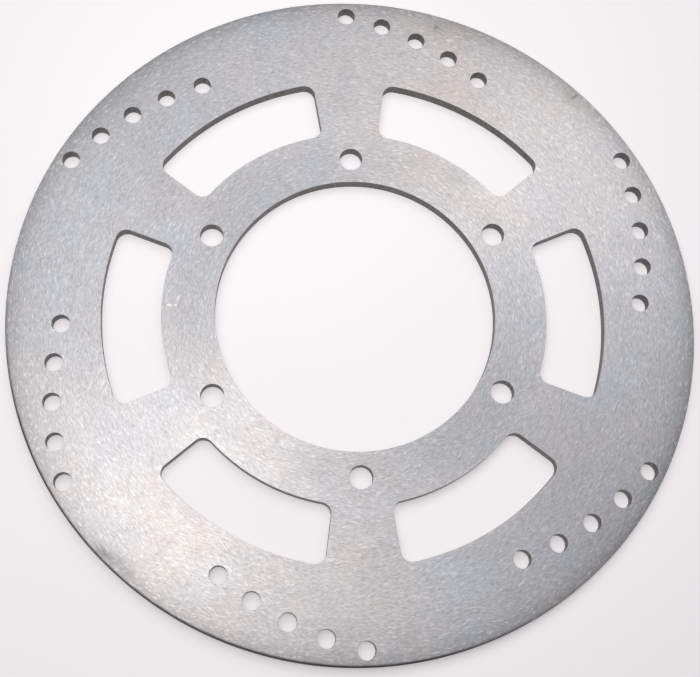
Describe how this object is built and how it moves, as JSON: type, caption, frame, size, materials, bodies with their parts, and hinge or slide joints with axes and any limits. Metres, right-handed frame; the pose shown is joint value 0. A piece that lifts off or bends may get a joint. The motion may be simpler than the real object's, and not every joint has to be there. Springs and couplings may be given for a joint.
{
  "type": "brake disc rotor",
  "caption": "Flat one-piece motorcycle brake disc: ground steel plate with hub bore, bolt holes, arched windows and curved rows of vent holes.",
  "frame": {"origin": "centre of the bore on the hub-side face, which is the lower face", "axes": "+Z along the disc's axis, away from the hub; +X through the middle of one window; the bolt holes lie at 30 degrees from +X and every 60 degrees after that"},
  "size_m": [0.25, 0.25, 0.005],
  "materials": {
    "ground_steel": "ground in short strokes that run round the disc"
  },
  "bodies": {
    "root": {"rotor_disc": "ground_steel"}
  },
  "joints": []
}
